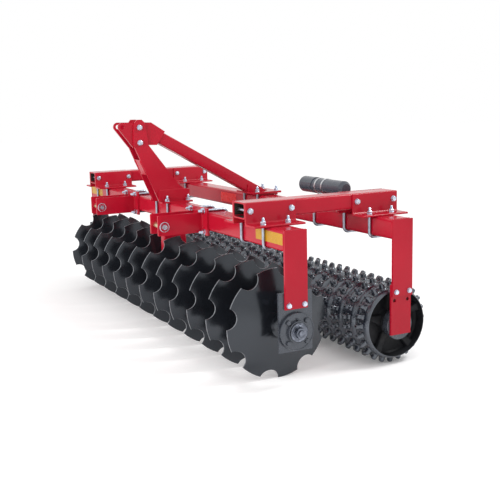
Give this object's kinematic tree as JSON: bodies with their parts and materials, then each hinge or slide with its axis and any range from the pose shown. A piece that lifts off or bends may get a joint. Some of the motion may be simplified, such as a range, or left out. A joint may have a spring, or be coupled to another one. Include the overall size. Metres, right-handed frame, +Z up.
{
  "type": "disc harrow",
  "caption": "Three-point mounted disc harrow: notched discs on one axle, a spiked ring roller behind, box-section frame, mast with brace and document canister.",
  "frame": {"origin": "on the ground, under the middle of the whole machine's box", "axes": "+Z up, -Y towards the tractor, +X the machine's left side"},
  "size_m": [3.046, 1.169, 1.252],
  "materials": {
    "frame_paint": "gloss enamel",
    "bearing_enamel": "satin black enamel",
    "disc_steel": "satin black enamel on steel",
    "axle_steel": "satin black enamel",
    "roller_iron": "gloss black enamel on cast iron",
    "zinc": "bright zinc plate",
    "canister_plastic": "moulded plastic",
    "clamp_band": "steel band"
  },
  "bodies": {
    "frame": {"front_beam": "frame_paint", "rear_beam": "frame_paint", "front_end_plates": "frame_paint", "rear_end_plates": "frame_paint", "roller_plates": "frame_paint", "rails": "frame_paint", "rail_angles": "frame_paint", "clevis_flanges": "frame_paint", "clevis_cheeks": "frame_paint", "brace": "frame_paint", "head_plates": "frame_paint", "mast_plates": "frame_paint", "mast_cross_plate": "frame_paint", "mast_angles": "frame_paint", "brace_angles": "frame_paint", "middle_hanger": "frame_paint", "gang_bearing_plates": "bearing_enamel", "gang_bearing_housings": "bearing_enamel", "middle_bearing": "bearing_enamel", "roller_bearings": "bearing_enamel", "lower_pins": "zinc", "document_canister": "canister_plastic", "canister_cap": "canister_plastic", "canister_clamps": "clamp_band"},
    "disc_gang": {"disc_axle": "axle_steel", "discs": "disc_steel", "spools": "disc_steel"},
    "roller": {"roller_axle": "axle_steel", "roller_rings": "roller_iron", "roller_end_rings": "roller_iron"}
  },
  "joints": [
    {"name": "disc_axle_turn", "type": "hinge", "parent": "frame", "child": "disc_gang", "pos_m": [0, -0.2415, 0.275], "axis": [1, 0, 0], "continuous": true},
    {"name": "roller_turn", "type": "hinge", "parent": "frame", "child": "roller", "pos_m": [0, 0.3705, 0.214], "axis": [1, 0, 0], "continuous": true}
  ]
}
